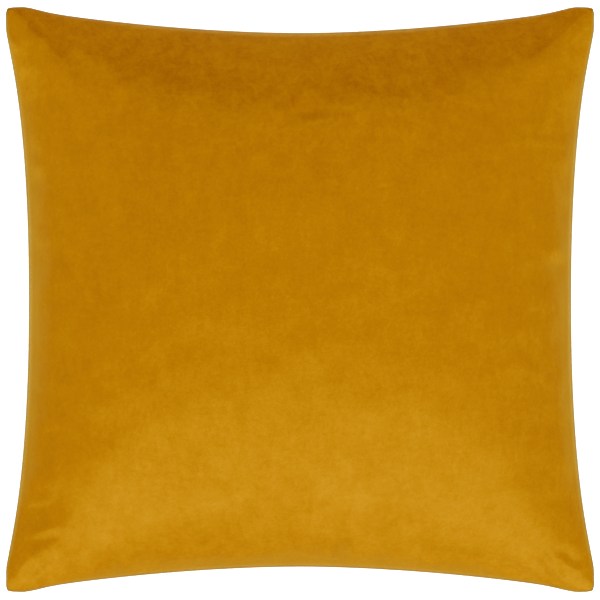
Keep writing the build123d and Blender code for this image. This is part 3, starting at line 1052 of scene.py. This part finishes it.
def floor_material():
    """A plain pale floor."""
    shader = Shader("floor")
    grain = shader.noise(60.0, 2.0, 0.5)
    shader.set(
        Base_Color=shader.ramp(grain, ((0.0, (0.93, 0.93, 0.93)), (1.0, (0.96, 0.96, 0.96)))),
        Roughness=0.9,
    )
    shader.set(Specular_IOR_Level=0.1, Emission_Color=(1.0, 1.0, 1.0, 1), Emission_Strength=0.5)
    return shader.material


velvet = velvet_material()
thread = thread_material("sewing_thread", (0.34, 0.14, 0.004), (0.50, 0.24, 0.014))
pad_thread = thread_material("pad_thread", (0.66, 0.65, 0.61), (0.84, 0.83, 0.79))
TAPE_COLOURS = ((0.36, 0.17, 0.008), (0.48, 0.25, 0.015))
SATIN_COLOURS = ((0.68, 0.68, 0.66), (0.84, 0.84, 0.82))
CASING_COLOURS = ((0.66, 0.65, 0.60), (0.82, 0.81, 0.77))
tape_cloth = weave_material("zip_tape", *TAPE_COLOURS, pitch=0.0006, roughness=0.8, distance=0.00012)
satin = weave_material("label_satin", *SATIN_COLOURS, pitch=0.00035, roughness=0.38, distance=0.00004)
casing_cloth = weave_material(
    "pad_casing", *CASING_COLOURS, pitch=0.0009, roughness=0.85, distance=0.00012
)
fibre = fibre_material("pad_filling")
metal = metal_material("zip_metal")
coil_plastic = coil_material("zip_coil")
floor.data.materials.append(floor_material())


def finish_piece(piece, material, slot, *nodes, body="cushion"):
    """Gives a piece its material and its body, and hides the CAD nodes that it stands for."""
    piece.data.materials.clear()
    piece.data.materials.append(material)
    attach(piece, body)
    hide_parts(*nodes)


finish_piece(front_panel, velvet, "velvet", "cover_front_panel")
finish_piece(back_panel, velvet, "velvet", "cover_back_panel")
finish_piece(seam_thread, thread, "sewing_thread", "cover_seam_thread")
finish_piece(overlock, thread, "sewing_thread", "cover_overlock_thread")
finish_piece(bar_tacks, thread, "sewing_thread", "zip_bar_tacks")
for side in ("front", "back"):
    node = f"zip_tape_{side}"
    finish_piece(zip_pieces[node], tape_cloth, "zip_tape", node)
    node = f"zip_coil_{side}"
    finish_piece(zip_pieces[node], coil_plastic, "zip_coil", node)
    node = f"zip_stitching_{side}"
    finish_piece(zip_pieces[node], thread, "sewing_thread", node)
finish_piece(label, satin, "label_satin", "care_label")
finish_piece(casing_front, casing_cloth, "pad_casing", "pad_casing_front")
finish_piece(casing_back, casing_cloth, "pad_casing", "pad_casing_back")
finish_piece(filling, fibre, "pad_filling", "pad_filling")
finish_piece(pad_seam, pad_thread, "pad_thread", "pad_seam_thread")
finish_piece(closing_stitch, pad_thread, "pad_thread", "pad_closing_stitch")
for node in ("zip_top_stops", "zip_bottom_stop", "zip_slider_body", "zip_pull_tab"):
    shown = frame["nodes"][node]
    shown.data.materials.clear()
    shown.data.materials.append(metal)

# ---------------------------------------------------------------- camera and light
scene = bpy.context.scene
scene.view_settings.view_transform = "Standard"
CAMERA_HEIGHT = 2.6
VIEW_WIDTH = 2 * HALF_X * 1.0204
SENSOR = 36.0
camera_data = bpy.data.cameras.new("camera")
camera_data.sensor_width = SENSOR
camera_data.lens = SENSOR * (CAMERA_HEIGHT - SEAM) / VIEW_WIDTH
camera = bpy.data.objects.new("camera", camera_data)
camera.location = (0, -0.0004, CAMERA_HEIGHT)
scene.collection.objects.link(camera)
scene.camera = camera

world = bpy.data.worlds.new("studio")
scene.world = world
world.use_nodes = True
world.node_tree.nodes["Background"].inputs["Color"].default_value = (1.0, 1.0, 1.0, 1)
world.node_tree.nodes["Background"].inputs["Strength"].default_value = 1.0


def soft_light(name, place, size, power):
    """A square lamp that faces the pillow."""
    light = bpy.data.lights.new(name, "AREA")
    light.size = size
    light.energy = power
    lamp = bpy.data.objects.new(name, light)
    lamp.location = place
    aim = Vector((0, 0, SEAM)) - Vector(place)
    lamp.rotation_euler = aim.to_track_quat("-Z", "Y").to_euler()
    scene.collection.objects.link(lamp)


soft_light("key", (0.0, -1.5, 2.2), 1.5, 25)
soft_light("fill", (0.0, 1.2, 2.4), 2.0, 19)
